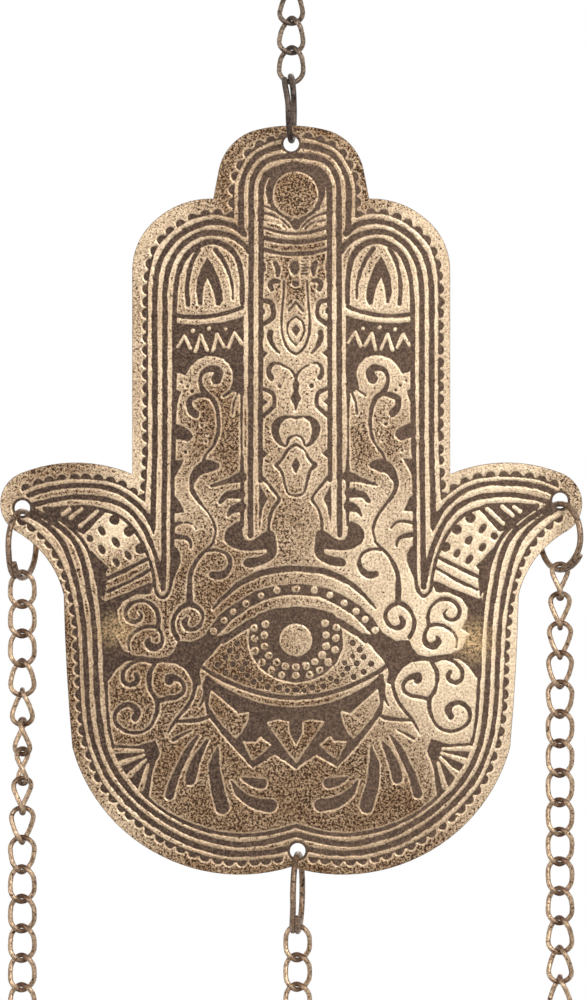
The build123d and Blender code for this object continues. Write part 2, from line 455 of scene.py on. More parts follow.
for outer_line in outer_lines:
    for drawn, outside in ((outer_line, 1), (other_hand(outer_line), -1)):
        run = smooth_run(drawn, 1, 0.25)[0]
        ahead = np.gradient(run, axis=0)
        outward = np.column_stack([-ahead[:, 1], ahead[:, 0]]) * outside / np.hypot(*ahead.T)[:, None]
        length = np.concatenate([[0], np.cumsum(np.hypot(*np.diff(run, axis=0).T))])
        count = max(2, int(round(length[-1] / round_pitch)))
        for along in (np.arange(count) + 0.5) * length[-1] / count:
            i = np.searchsorted(length, along)
            spot(run[i] + outward[i] * round_stand, round_radius, round_radius, 0, True)
        draw((run + outward * round_stand)[::4], 0.35, True)
groove([(1.9, 72), (4, 71.7), (6, 71.2), (7.8, 70.4), (9.3, 69.1), (10.4, 67.3), (11.2, 65.2), (11.5, 63),
    (11.5, 60), (11.5, 57), (11.3, 54.6)], 1.1)
groove([(10.9, 54.3), (13, 55.9), (15, 56.6), (17.3, 56.75), (19.5, 56.3), (21.5, 55.4), (23.5, 54.1),
    (25.3, 52.2), (26.7, 50), (27.5, 47.5), (28, 44), (28.1, 40), (28.1, 30), (28.1, 12), (28.3, 4),
    (28.4, 0), (28.5, -3)], 1.05)
pool([(27.9, -1), (28.9, -1.5), (30.2, -0.9), (29.3, -3.2), (28.3, -5.6), (27.9, -4)])
groove([(28.4, -4.4), (30, -1.3), (32, 0.9), (35, 3), (39, 4.25), (44, 4.4), (49, 3.7), (52.4, 2.6)], 0.95)
groove([(53, -0.9), (50.5, -2.4), (48, -4.4), (46, -6.8), (44.6, -10), (43.3, -14.5), (42.4, -19),
    (41.7, -25), (41.3, -33), (41, -40), (40.2, -46), (39, -50), (37, -54.3), (34.3, -57.8), (31, -61.2),
    (27, -64.3), (22.5, -66.9), (18, -68.6), (14, -69.5), (10, -69.7), (6, -69.4), (2.4, -68.6)], [0.9, 1.1])
groove([(0.6, 69.95), (3, 69.8), (5.2, 69.4), (7.2, 68.5), (8.6, 66.7), (9.3, 64.8), (9.55, 62), (9.55, 55),
    (9.6, 40), (9.65, 20), (9.7, -6)], 1.05)
groove([(10.1, 50.8), (10.7, 51.9), (12.6, 53.5), (15, 54.4), (17.5, 54.7), (19.6, 54.3), (21.5, 53.3),
    (23.4, 51.6), (24.8, 49.3), (25.7, 46.5), (26.1, 43), (26.15, 38), (26.15, 12), (26.3, 0), (26.4, -10),
    (26.5, -16.4)], 1.05)
groove([(26.8, -15), (27.4, -11.8), (28.5, -8.2), (30, -4.7), (32, -1.7), (34, 0.1), (37, 1.4), (40, 1.95),
    (44, 2.05), (48, 1.5), (51.4, 0.6)], 0.95)
groove([(52, 0), (50, -1.3), (47, -3.3), (44.5, -5.6), (42.8, -8.3), (41.6, -12), (40.9, -16), (40.2, -20),
    (39.7, -25), (39.4, -33), (39, -40), (38.2, -46), (37.1, -50), (35.2, -53.7), (32.3, -57.6), (29, -60.6),
    (25, -63.4), (21, -65.5), (16.5, -67), (12.5, -67.8), (9, -67.7), (5, -67), (0.95, -65.9)], 1.05)
groove([(0.6, 67.8), (3, 67.6), (5, 67.1), (6.6, 66), (7.4, 64.3), (7.65, 62), (7.65, 50), (7.7, 40),
    (7.75, 20), (7.8, 5)], [1.5, 1.3, 1.0, 0.85])
groove([(11.3, 40.5), (11.35, 45), (11.9, 48.6), (13.2, 51), (15.2, 52.4), (17.5, 52.85), (19.6, 52.1),
    (21.5, 50.8), (22.9, 48.6), (23.7, 46), (24.1, 43), (24.3, 38), (24.35, 20), (24.6, 8), (24.75, -4),
    (24.8, -12), (25.2, -16.4), (26.4, -18.2), (27.8, -17.2), (28.3, -14)],
    [0.9, 1.1, 1.1, 0.9, 0.9, 0.6, 0.6])
groove([(28.3, -14), (29, -11), (30.3, -7.6), (32.3, -4.3), (34.6, -2), (37.4, -0.7), (41, 0.1), (45, 0.1),
    (49.3, -0.2)], 0.6)
groove([(49.3, -0.2), (46, -2.6), (43.5, -4.8), (41.5, -7.5), (40.1, -11), (39.2, -15), (38.5, -20),
    (38, -26), (37.6, -32), (37.4, -38), (36.9, -44), (36, -48), (34.5, -51.5), (32.3, -54.8), (29.5, -58.2),
    (26.5, -60.8), (23, -62.9), (19, -64.6), (15, -65.6), (11, -66), (7, -65.7), (4, -65.1), (0.95, -64.2)],
    [0.8, 0.6, 0.6, 0.75])
for outer_line in outer_lines:
    ridge(outer_line, 0.8)

# The middle finger has a plain disc in a dark ring, leaves under it, and bands
disc_centre, disc_radius = (0.75, 62.1), 4.75
for turn in range(90, -75, -15):
    ring_width = np.interp(turn, (-75, -30, 30, 90), (0.3, 0.6, 1.4, 1.8))
    turns = np.radians((turn, turn - 8, turn - 16))
    outward = np.column_stack([np.cos(turns), np.sin(turns)])
    groove(disc_centre + outward * (disc_radius + ring_width / 2), ring_width)
groove([(1.6, 56.2), (3.2, 57.8), (5, 59), (7, 59.9)], [0.6, 0.4, 0.3])
groove([(2.2, 55.6), (3.6, 57), (5.2, 57.9), (7, 58.5)], [0.4, 0.3])
groove([(2.8, 55.3), (4.2, 56.4), (6.9, 57)], [0.35, 0.3])
pool([(0.7, 57.3), (1.5, 57), (1.9, 56), (1.5, 55.2), (0.7, 55)])
groove([(0.7, 54.2), (4, 54.6), (7, 55.5)], [0.55, 0.5])
groove([(0.7, 52.6), (3.8, 52.8), (7, 53.5)], [0.9, 0.8])
groove([(0.7, 50.2), (4, 50.4), (7.2, 51.2)], [0.75, 0.7])
for drop in np.arange(7) * 0.62:
    draw([(2.1, 49.3 - drop), (3.4, 49.4 - drop)], 0.2, True)
spot((0.7, 47.5), 0.95, 1.3, 0, True)
pits(0.5, (0.8, 44.3))
groove([(4.9, 48.4), (4.4, 47.2), (4.5, 46)], [1.0, 1.1, 0.6])
groove([(4.3, 44.8), (5.3, 44.9), (6, 44.1), (5.6, 43.2)], [0.7, 0.8, 0.9, 0.8])
pool([(7.9, 49.2), (6.9, 48.4), (6.8, 47.1), (7.9, 45.8)])

# Each side finger has a flame in arches, a toothed band, and a vine down to the palm
groove([(13.1, 41.4), (13.2, 44), (13.9, 46.8), (15, 49.2), (16.4, 51.2)], [0.4, 0.7, 0.9])
groove([(19.7, 51.2), (20.9, 48.9), (21.6, 46.3), (21.9, 43.4), (21.7, 40.3)], [0.9, 0.8, 0.8])
pool([(18, 49.7), (18.9, 48), (19.9, 45.4), (20.1, 43), (19.7, 40.4), (19, 40.3), (18.9, 42.6), (18.6, 44.2),
    (18, 45.6), (17.2, 44), (16.6, 42), (16.3, 40.2), (15.6, 40.1), (15, 41.2), (15.1, 43), (15.8, 45.4),
    (16.9, 48)])
groove([(11.3, 39.7), (13, 39), (16, 38.2), (19, 37.85), (22, 37.9), (24.3, 38.3)], 0.8)
pool([(11, 37.9), (13, 37.2), (16, 36.6), (20, 36.3), (24.5, 36.7), (24.5, 26.8), (23.9, 26.8), (22.2, 26.2),
    (21.4, 27.8), (20, 29.2), (18.3, 29.95), (16.6, 29.95), (14.9, 29.4), (13.6, 28.2), (13, 26.6),
    (13.2, 24.8), (13.7, 23.3), (12.4, 22.7), (11, 22)])
for left_foot, tip, right_foot in (((11.4, 32.4), (12.8, 34.7), (13.9, 31.8)),
                                   ((14.8, 31.9), (16.1, 34.3), (16.9, 31.1)),
                                   ((18, 31.2), (19.3, 34.2), (20.3, 31)),
                                   ((21.2, 31.5), (22.4, 34.1), (23.7, 31.9))):
    ridge([left_foot, tip], 0.75)
    ridge([tip, right_foot], 0.75)
studs(0.42, (14.4, 35.3), (17.7, 35.5), (20.8, 35.1))
groove([(16.3, 25.3), (15.8, 26.5), (16.4, 27.4), (17.6, 27.4), (18.7, 26.9), (19.3, 25.8), (19.3, 24.4),
    (18.9, 23.2), (18.5, 22.6)], [1.9, 1.7, 1.4, 1.1, 0.9, 0.7, 0.7, 1.0, 1.3])
groove([(18.5, 22.4), (17.2, 21.6), (16.3, 20), (15.9, 18), (15.8, 16), (16.1, 14), (16.8, 12.2),
    (18.3, 10.2), (18.7, 9.2)], [1.1, 0.8, 0.6, 0.5, 0.5])
groove([(18.6, 22.3), (20, 22), (21.3, 21.3), (21.4, 20), (20.9, 18.9), (20.3, 18.4)],
    [1.0, 1.0, 1.1, 1.2, 1.5, 1.5])
pits(0.28, (20.9, 23), (21.8, 24), (23, 24.9), (19, 16.2), (18, 14.5), (18.3, 12.9), (22.2, 10.9))
pool([(23.1, 22.8), (24.6, 23.7), (24.6, 19.3), (23.8, 20.6)])
pool([(20.8, 13.9), (21.3, 15), (22.6, 15.9), (24, 16.5), (24.6, 16.2), (24.6, 13.4), (23.3, 13.4),
    (21.8, 12.9)])
groove([(12.2, 22.4), (12.9, 20.5), (13.2, 18.2)], 0.35)
groove([(13.4, 23), (14.9, 21.9)], [0.6, 0.3])
groove([(11.4, 23), (11.4, 12), (11.3, 7), (11.3, -4)], [0.5, 0.3, 0.8, 0.6])
groove([(16.3, 8), (18, 8), (19.8, 7), (20.9, 5), (21, 3.6), (20.2, 1.8), (19, 0.2), (17.8, -1.4),
    (16.8, -3.2), (16.4, -5.2), (16.9, -7.2)], [1.4, 2.6, 1.9, 1.2, 0.9, 0.7, 0.5, 0.5, 0.45, 0.45, 0.4])
groove([(11.4, 5.7), (14, 5), (17.2, 4)], [2.1, 1.0, 0.4])
groove([(11.6, 2.4), (14.2, 2.1), (15.5, 0.8)], [1.9, 1.4, 0.8])
groove([(11.5, -0.2), (13.1, -0.8), (14, -2)], [2.0, 1.4, 0.6])
pool([(22.4, 9.3), (24.6, 9.2), (24.7, 4.5), (23.9, 6.6)])
pool([(22.5, -1.2), (24.7, -1.3), (24.7, 2.6), (23.6, 1.3)])

# The column under the middle finger has half frames against its bars, and lozenges down its centre
groove([(7.8, 41.1), (6, 40.7), (5.4, 39.8), (5.4, 37.6), (7.8, 35.9)], 0.85)
pool([(7.8, 39.6), (7, 39.2), (6.9, 38.4), (7.8, 38)])
groove([(5.8, 34.6), (6, 33.7), (5.6, 32.5), (5, 31.4), (4.1, 30.4)], [1.0, 1.0, 0.8, 0.5, 0.3])
pool([(6.3, 30.4), (7.9, 31.6), (8.1, 29), (7.6, 29.2)])
groove([(4, 28.3), (5.2, 28.4), (6.1, 27.4), (6.1, 26.2), (5.7, 25.5)], [0.3, 0.5, 0.8, 1.0, 1.0])
pits(0.4, (4.1, 23.8))
groove([(7.8, 23.6), (5.3, 22.2), (5.2, 20), (5.5, 19.5), (7.9, 17.3)], 0.75)
pool([(6.3, 20.7), (7.9, 21.8), (7.9, 19.6)])
groove([(0.95, 17.4), (2.4, 17.7), (4, 17.1), (4.9, 15.7), (4.8, 14), (4, 12.5), (3, 11.8)],
    [0.4, 0.5, 1.2, 1.7, 1.4, 0.8, 0.4])
pool([(6.2, 10.3), (7.8, 11.4), (7.8, 9.2)])
groove([(4.8, 8), (3.6, 9.2), (2.6, 11), (0.95, 12.2)], [0.8, 0.45, 0.4])
groove([(4.8, 8), (3.6, 6.4), (2.6, 2.6), (0.95, 1.8)], [0.8, 0.4, 0.4])
groove([(7.8, 6), (5.6, 3.4), (4.2, 1.2), (5.2, -0.4), (6, -2.5), (6.2, -5)], 0.55)
pool([(8, 4.2), (6.5, 1.3), (7.2, -0.3), (7.7, -2.6), (8, -5)])
pool([(0.95, 9.6), (1.8, 8), (0.95, 6.3), (0.7, 8)])
groove([(3.2, 44.8), (3.4, 41), (3.7, 37.5), (3.6, 34.5), (3, 32.3), (2, 30.8), (0.95, 30.2)], 0.42)
groove([(0.95, 40.6), (2.3, 38.9)], 0.4)
groove([(0.95, 37.7), (2.3, 36.6), (2.6, 34.8), (1.9, 33), (0.95, 32)], 0.3)
pool([(0.95, 36.2), (1.8, 35), (0.95, 33.8), (0.7, 35)])
groove([(0.95, 23.4), (1.05, 25.4), (1.9, 27), (4, 28.3)], [0.8, 0.6, 0.4, 0.3])
pool([(0.95, 25.6), (1.7, 24.2), (1.4, 22.8), (2, 21.4), (1.3, 19.8), (0.95, 18.9), (0.8, 22)])
groove([(0.95, 14), (2.2, 13.4), (2.7, 12)], 0.4)
pool(rounded([(5, -5.4), (6.6, -5), (8, -6.2), (9.5, -7.2), (11.2, -6.9), (11.4, -3), (13, -3.6),
    (14.7, -5.2), (14.6, -7.2), (12.8, -8.6), (10.6, -9), (8.4, -9), (6.6, -8.7), (6.4, -9.6), (8, -10.4),
    (10.9, -10.6), (11, -12.4), (8.2, -12.2), (6, -11.2), (4.6, -10), (4.7, -7.6)]))

# Each thumb has a spotted panel, slanting bars and a barred tip
pool([(37.6, -0.9), (40, 0), (44, 0.2), (48, 0.1), (49.4, -0.3), (46.5, -2.2), (43.8, -4.4), (41.8, -5.4),
    (40.9, -4.6), (39, -2.4)])
ridge([(39.2, -0.8), (42.4, -3.7)], 0.85)
ridge([(42.2, -0.3), (44.3, -2.1)], 0.85)
ridge([(44.6, -0.4), (45.8, -1.3)], 0.85)
pits(1.0, (35.9, -2.6), (33.1, -4.9), (30.9, -8.4))
pits(0.7, (40.6, -6.2))
pool([(40.4, -8.6), (38.2, -11), (36.9, -12.2), (37.6, -13), (37.4, -14.6), (37.8, -18.6), (39, -16),
    (40, -11)])
seed_long, seed_short, seed_lean = 1.0, 0.62, 58
for seed in ((38.3, -4.7), (35.6, -7), (38.3, -8.4), (33.2, -9.7), (35.6, -10.9)):
    spot(seed, seed_long, seed_short, seed_lean, True)
    spot(other_hand([seed])[0], seed_long, seed_short, 180 - seed_lean, True)
groove([(29.6, -10.5), (33.5, -12.5), (37.6, -14.4)], 0.75)
groove([(29, -12.6), (33, -14.9), (37.2, -16.9)], 0.6)
pool([(28.2, -15.4), (29.2, -15.3), (33.2, -17.1), (37.6, -18.8), (38.2, -18.5), (38.2, -26), (36, -26),
    (34.2, -24.7), (35.2, -22.8), (35.4, -20.6), (34.2, -18.8), (31.6, -17.5), (29, -17.4)])

# Scrolls fill the palm beside the eye
groove([(18.2, -9), (16.3, -8.8), (14.4, -9.6), (13.6, -11.1), (13.8, -12.4), (14.6, -13.5), (15.8, -14),
    (17, -13.8)], [0.5, 0.5, 0.6, 0.7, 0.9, 1.4, 1.5, 1.3])
groove([(16.7, -7.2), (17.6, -8.2), (19.4, -10), (20.6, -12), (21.3, -14), (21.4, -16), (21.4, -19.2)],
    [0.4, 0.5, 0.6, 0.8, 0.9, 1.0, 1.2])
groove([(21.4, -19.5), (20, -20.2), (19, -21.4), (18.9, -22.7), (19.6, -24), (20.8, -24.6), (22, -24.3),
    (22.4, -23.3), (21.9, -22.5)], [1.0, 0.75, 0.7, 0.7, 0.75, 0.8, 1.0, 1.1, 0.7])
groove([(21.4, -19.5), (22.9, -20.2), (24, -21.4), (24.6, -23), (24.5, -24.8), (23.7, -26.5)],
    [1.0, 0.8, 0.75, 0.75, 0.8, 0.9])
groove([(20, -4.6), (21, -3.5), (22.5, -3.2), (24.4, -3.6)], [0.3, 0.5, 0.7])
groove([(21.1, -8.3), (21.3, -7.1), (22.2, -6.3), (24.5, -5.9)], [0.35, 0.7, 1.0])
pool([(24.9, -7.9), (23.9, -8.4), (23.2, -9.7), (23.2, -11.3), (23.9, -13), (24.6, -14.8), (24.9, -14.5)])
groove([(27.5, -24.2), (27.4, -22.2), (28, -20.4), (29.4, -19.1), (31.2, -18.8), (32.8, -19.5), (33.7, -21),
    (33.4, -22.4), (32.2, -23), (31, -22.6), (30.6, -21.7), (31.1, -21)],
    [0.8, 0.7, 0.7, 0.75, 0.8, 0.7, 0.6, 0.4])
groove([(27.5, -24.2), (29.3, -23.9), (31, -24.4), (32.4, -25.5), (33.2, -27), (33, -28.6)],
    [0.7, 0.7, 0.7, 0.6, 0.5, 0.3])
groove([(27.4, -24.4), (26.8, -25.6), (26.7, -27), (27.4, -28), (28.6, -28.1), (29.5, -27.3), (29.2, -26.5)],
    [0.7, 0.6, 0.8, 1.2, 1.6, 1.3, 0.7])
pool([(14.2, -25.6), (16, -26.1), (18, -25.4), (19.4, -26.4), (21, -27.2), (23.6, -27), (24.2, -28.6),
    (25.4, -30), (27.2, -30.4), (29.6, -30.1), (32, -29.8), (34.2, -28.8), (35.2, -26.6), (36, -25.6),
    (38.2, -25.6), (38, -35), (37, -34.6), (35.6, -32.4), (33.6, -30.9), (31, -30.6), (28.6, -31.6),
    (26.6, -31.1), (24, -31.4), (22.3, -32.5), (21.2, -34.2), (20.4, -36), (19.2, -35.6), (19.6, -33.6),
    (18.6, -31.2), (16.6, -29), (15, -27)])
groove([(28.2, -31.6), (29.1, -33.4), (29.2, -35.2), (28.8, -37), (27.8, -38.6), (27.6, -40.2), (28, -42),
    (29, -44), (30.5, -45), (32.3, -45.2), (34.2, -44.6), (35.6, -43.2), (35.7, -41.4), (34.8, -40.1),
    (33.3, -39.5), (32, -40), (31.4, -41.1), (31.9, -42.3)],
    [0.8, 0.8, 0.8, 0.8, 0.9, 0.9, 0.7, 0.5, 0.5, 0.5, 0.6, 0.7, 0.8, 0.8, 0.9, 1.1, 1.4, 1.3])
groove([(28, -31), (30, -30.6), (32, -31), (33.6, -32.2), (34.3, -33.6), (34, -35), (32.8, -35.6),
    (31.6, -35), (31.4, -34), (31.8, -33.5)], [0.7, 0.7, 0.7, 0.75, 0.8, 0.8, 0.85, 0.9, 0.9, 0.8])
groove([(25.3, -35), (25.4, -34.3), (24.3, -34.3), (23, -35), (22.4, -36.2), (22.8, -37.4), (24, -38.1),
    (25.6, -38.4), (27.6, -38.9)], [1.5, 1.5, 1.1, 0.8, 0.7, 0.7, 0.75, 0.8, 0.9])
groove([(20.3, -34.5), (20.4, -36.5), (21, -38.5), (22.2, -40.5), (23.6, -42.2), (24.8, -43.9),
    (25.8, -45.8)], [0.8, 0.7, 0.7, 0.7, 0.6, 0.3])
groove([(18.3, -35.8), (18.5, -38), (19.5, -40.2)], [0.8, 0.7, 0.3])
groove([(17.2, -41.8), (19, -42.6), (21.5, -42.9), (24.2, -43)], [0.5, 0.75, 0.7, 0.6])
groove([(21.1, -44.9), (23, -45.8), (24.6, -46.7)], [0.25, 0.45, 0.6])

# The eye has a brow, a band of studs, lids, a ringed iris and a pupil
groove([(0.95, -12.7), (4, -12.9), (7, -13.4), (9.5, -14.4), (12, -15.8), (14.2, -17.7), (16, -19.5),
    (16.9, -20.6)], [1.1, 1.2, 1.2, 1.1, 1.0, 0.8, 0.5, 0.25])
groove([(0.95, -16.9), (4, -17.1), (7, -17.8), (10, -19.2), (13, -21.2), (15.2, -23.2), (17.2, -25.6)],
    [2.1, 2.1, 2.1, 2.2, 2.3, 2.3, 2.0])
studs(0.74, (1.1, -16.8), (4.6, -17), (7.7, -18), (10.6, -19.6), (13, -21.2), (14.8, -22.9), (16.8, -25.1))
groove([(0.95, -21.3), (4, -21.5), (7, -22.3), (10, -23.7), (12.5, -25.2), (15, -27)],
    [1.7, 1.6, 1.5, 1.4, 1.2, 1.2])
spot((0.95, -26.9), 9.4, 8.5, 0, True)
ridge([(0.95, -19.2), (4, -19.4), (7, -20.15), (9.5, -21.25), (11.6, -22.6), (13.4, -24.1)],
    [2.4, 2.3, 2.1, 1.7, 1.2, 0.6])
spot((0.95, -27), 3.3, 3.3, 0, False)
studs(0.82, (9, -24.5), (8.9, -26.6), (8.8, -29), (7.5, -31.4), (5.7, -33), (3.7, -34), (0.95, -34.1))
studs(0.82, (6.8, -23.7), (7, -26), (7, -28.2), (6.2, -30), (4.7, -31.4), (3, -32.2), (0.95, -32.4))
pits(0.6, (12.3, -27.6), (13.7, -29), (14.5, -30.4), (16, -31.8), (13.1, -31.7), (11.3, -32.7), (14.5, -33.4),
    (12.5, -34.4), (9.1, -35.3), (4.2, -36.5), (6.4, -36.3), steep=3)
pits(0.5, (12.3, -30.3), (10.7, -31.6), (1.2, -37), (2.6, -37.1), (10.3, -34), (7.9, -34.7), steep=3)
groove([(0.95, -38.6), (5, -38.2), (10, -36.9), (14, -35.2), (17, -33.6), (19, -32.2)], 0.8)
groove([(0.95, -41.3), (5, -41), (9, -40), (13, -38.2), (16, -36.3), (18, -34.4)],
    [1.5, 1.5, 1.6, 1.5, 1.1, 0.9])

# Zigzags, petals and a fan of rays lie under the eye
pool([(0.95, -40.8), (5, -40.5), (9, -39.4), (13, -37.6), (16, -35.9), (18.2, -33.9), (18.9, -36.2),
    (18.4, -39.5), (18.2, -41.5), (16.9, -43.2), (14.8, -46), (12.5, -48.9), (9.3, -52.3), (7.2, -51.2),
    (5, -49.9), (3, -51.2), (0.95, -52.7), (0.8, -47)])
island([(10.2, -41.6), (12, -41.9), (13.2, -40.7), (15, -39.2), (17.2, -37.1), (17.6, -39.5), (16, -42.4),
    (13.9, -45), (12.5, -46.5), (11.4, -45.2), (10.6, -43.6)])
island([(5.9, -48), (7.7, -46.5), (8.5, -47.5), (10.9, -47.4), (9.3, -50.8), (7.6, -49.6)])
island([(0.95, -51.4), (3.4, -47.9), (6.3, -43.5), (4.2, -43.1), (2.4, -43.5), (0.95, -43.3), (0.7, -47)])
pool([(0.8, -42.8), (2.2, -43.3), (2.1, -45.4), (0.95, -47.9), (0.7, -45)])
groove([(16, -48.4), (16.6, -52), (16.2, -56), (15.1, -60.3)], [0.4, 2.0, 2.5, 2.7])
groove([(18, -46.9), (19.4, -49.4), (20.6, -52.2), (21.3, -54.7)], [0.4, 1.3, 1.9, 2.1])
groove([(19.8, -46), (21.5, -48.5), (23, -51.5), (24.3, -54.5), (25.3, -57.8)], [0.4, 1.1, 1.3, 1.5, 1.7])
groove([(11.3, -54.5), (9.4, -55.3), (7.5, -55.7)], [0.3, 1.6, 1.9])
groove([(13.3, -55.2), (11.8, -57.6), (9, -59.5), (5.9, -60.1)], [0.3, 1.6, 2.2, 2.5])
pool([(28, -46.8), (31.5, -47.9), (36.2, -47.6), (35.4, -50), (33.4, -53), (31.4, -55.6), (29.3, -58.2),
    (28.9, -56), (28.6, -53), (27.9, -51), (27.2, -49.3)])
for foot, tip in (((30.4, -48.8), (35.7, -48.7)), ((30.2, -49.7), (34.6, -51.2)),
                  ((29.8, -50.6), (32.9, -53.7)), ((29.4, -51.6), (30.7, -56.3))):
    ridge([foot, tip], [0.7, 1.3])


def unsteady(size, seed):
    """Slow random drift over the sheet, as of a hand that isn't quite steady."""
    tall, wide = 160, 126
    knots = np.random.default_rng(seed).normal(size=(int(tall / size) + 3, int(wide / size) + 3))
    u, v = (across_places - grid_left) / size, (up_places - grid_low) / size
    i, j = u.astype(int), v.astype(int)
    a, b = u - i, v - j
    a, b = a * a * (3 - 2 * a), (b * b * (3 - 2 * b))[:, None]
    low = knots[j][:, i] * (1 - a) + knots[j][:, i + 1] * a
    high = knots[j + 1][:, i] * (1 - a) + knots[j + 1][:, i + 1] * a
    return low * (1 - b) + high * b


eaten += 0.05 * unsteady(size=1.6, seed=3) + 0.035 * unsteady(size=0.6, seed=5)


def turning(loop):
    """Twice the area that a loop goes round."""
    return np.sum(loop[:, 0] * np.roll(loop[:, 1], -1) - loop[:, 1] * np.roll(loop[:, 0], -1))


def exact(loop):
    """A loop rounded as Blender keeps points, so that the faces beside it meet."""
    return np.float32(loop).astype(float)


def sawn_loops():
    """The sheet's edge and then its holes, read from the back of the solid as closed runs of points."""
    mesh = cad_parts["hand_plate"].data
    spots = np.array([v.co for v in mesh.vertices]) / MM
    keys = [(round(p[0], 3), round(p[2], 3)) for p in spots]
    used = set()
    for face in mesh.polygons:
        if all(spots[v][1] > back - 0.01 for v in face.vertices):
            ids = [keys[v] for v in face.vertices]
            used.update(zip(ids, ids[1:] + ids[:1]))
    rim = {a: b for a, b in used if (b, a) not in used}
    loops = []
    while rim:
        start = max(rim)
        loop, here = [start], rim.pop(start)
        while here != start:
            loop.append(here)
            here = rim.pop(here)
        loops.append(exact(np.array(loop) - (0, plate_rise)))
    return sorted(loops, key=lambda loop: -abs(turning(loop)))


def inset(loop, amount):
    """A loop moved inwards, away from its own edge."""
    ahead = np.roll(loop, -1, axis=0) - loop
    ahead /= np.hypot(*ahead.T)[:, None]
    both_ways = ahead + np.roll(ahead, 1, axis=0)
    both_ways /= np.hypot(*both_ways.T)[:, None]
    return loop + np.column_stack([-both_ways[:, 1], both_ways[:, 0]]) * amount * np.sign(turning(loop))


outline, *holes = sawn_loops()
kept_rim, bare_round_hole = 0.7, 2.0
for a, b in zip(outline, np.roll(outline, -1, axis=0)):
    rows, cols, x, z = nearby(np.array([a, b]), 2 * kept_rim)
    mark(rows, cols, from_segment(x, z, a, b)[0] - kept_rim, False)
for hole in holes:
    spot(hole.mean(axis=0), bare_round_hole, bare_round_hole, 0, True)


def shore(level):
    """Closed lines where the eaten depth passes a level, thinned where they run straight."""
    below = eaten < level
    flat_cross = below[:, :-1] != below[:, 1:]
    up_cross = below[:-1] != below[1:]
    flat_t = (level - eaten[:, :-1]) / np.where(flat_cross, eaten[:, 1:] - eaten[:, :-1], 1)
    up_t = (level - eaten[:-1]) / np.where(up_cross, eaten[1:] - eaten[:-1], 1)
    straight, fewest_to_thin, least_area = 0.014, 9, 0.02
    join = {}
    busy = np.argwhere(flat_cross[:-1] | flat_cross[1:] | up_cross[:, :-1] | up_cross[:, 1:])
    for j, i in busy.tolist():
        sides = [(True, j, i), (False, j, i + 1), (True, j + 1, i), (False, j, i)]
        sides = [(flat, v, u) for flat, v, u in sides if (flat_cross if flat else up_cross)[v, u]]
        pairs = ((0, 1),)
        if len(sides) == 4:
            middle = eaten[j:j + 2, i:i + 2].mean() < level
            pairs = ((0, 1), (2, 3)) if middle == below[j, i] else ((0, 3), (1, 2))
        for a, b in pairs:
            join.setdefault(sides[a], []).append(sides[b])
            join.setdefault(sides[b], []).append(sides[a])
    loops = []
    while join:
        run, here, before = [], next(iter(join)), None
        while here in join:
            flat, j, i = here
            run.append((across_places[i] + (grid_step * flat_t[j, i] if flat else 0),
                        up_places[j] + (0 if flat else grid_step * up_t[j, i])))
            ahead = [k for k in join.pop(here) if k != before and k in join]
            before, here = here, ahead[0] if ahead else None
        run = np.array(run)
        for _ in range(4):
            if len(run) < fewest_to_thin:
                break
            a, b = np.roll(run, 1, axis=0), np.roll(run, -1, axis=0)
            chord = np.maximum(np.hypot(*(b - a).T), 1e-9)
            off = np.abs((b - a)[:, 0] * (run - a)[:, 1] - (b - a)[:, 1] * (run - a)[:, 0]) / chord
            run = run[(off >= straight) | (np.arange(len(run)) % 2 == 0)]
        if len(run) > 4 and abs(turning(run)) > 2 * least_area:
            loops.append(run)
    return loops


def sheet_face(loops, depths, outer):
    """Triangles between loops of points at their own depths, inside the outer loop and outside the holes."""
    flat, deep, edges = [], [], []
    for loop, depth in zip(loops, depths):
        first, count = len(flat), len(loop)
        flat.extend(loop.tolist())
        deep.extend([depth] * count)
        edges.extend((first + k, first + (k + 1) % count) for k in range(count))
    made = delaunay_2d_cdt([Vector(p) for p in flat], edges, [], 0, 1e-6, True)
    spots = np.array([tuple(v) for v in made[0]])
    depth = np.array([deep[was[0]] if was else np.nan for was in made[3]])
    new = np.isnan(depth)
    i = np.round((spots[new, 0] - grid_left) / grid_step).astype(int)
    j = np.round((spots[new, 1] - grid_low) / grid_step).astype(int)
    depth[new] = np.interp(eaten[j, i], *zip(*shoulders))
    triangles = np.array(made[2])
    x, z = spots[triangles].mean(axis=1).T
    keep = within(x, z, outer)
    for hole in holes:
        keep &= ~within(x, z, hole)
    return spots, depth, triangles[keep]


chamfer, clear_of_holes = 0.1, 1.58
shoulders = ((-0.55, front), (-0.23, -0.385), (-0.08, -0.31), (0.07, floor_of_etch))
loops, depths = [], []
for level, depth in shoulders:
    for loop in shore(level):
        from_holes = [np.hypot(*(loop - hole.mean(axis=0)).T).min() for hole in holes]
        if within(*loop[0], outline) and min(from_holes) > clear_of_holes:
            loops.append(loop)
            depths.append(depth)
edge = exact(inset(outline, chamfer))
spots, depth, front_faces = sheet_face(
    loops + [edge] + holes, depths + [front] + [floor_of_etch] * len(holes), edge)
back_spots, _, back_faces = sheet_face([edge] + holes, [back] * (1 + len(holes)), edge)
verts = [(x, y, z) for (x, z), y in zip(spots, depth)]
faces = front_faces.tolist() + (back_faces[:, ::-1] + len(verts)).tolist()
verts += [(x, back, z) for x, z in back_spots]
walls = [[(edge, front), (outline, front + chamfer), (outline, back - chamfer), (edge, back)]]
walls += [[(hole, floor_of_etch), (hole, back)] for hole in holes]
for wall in walls:
    size = len(wall[0][0])
    for step, (loop, y) in enumerate(wall):
        b = len(verts)
        verts += [(x, y, z) for x, z in loop]
        if step:
            faces += [(b - size + m, b + m, b + k, b - size + k)
                      for k, m in zip(range(size), [*range(1, size), 0])]
plate_mesh = bpy.data.meshes.new("hand_sheet")
plate_mesh.from_pydata([(x * MM, y * MM, (z + plate_rise) * MM) for x, y, z in verts], [], faces)
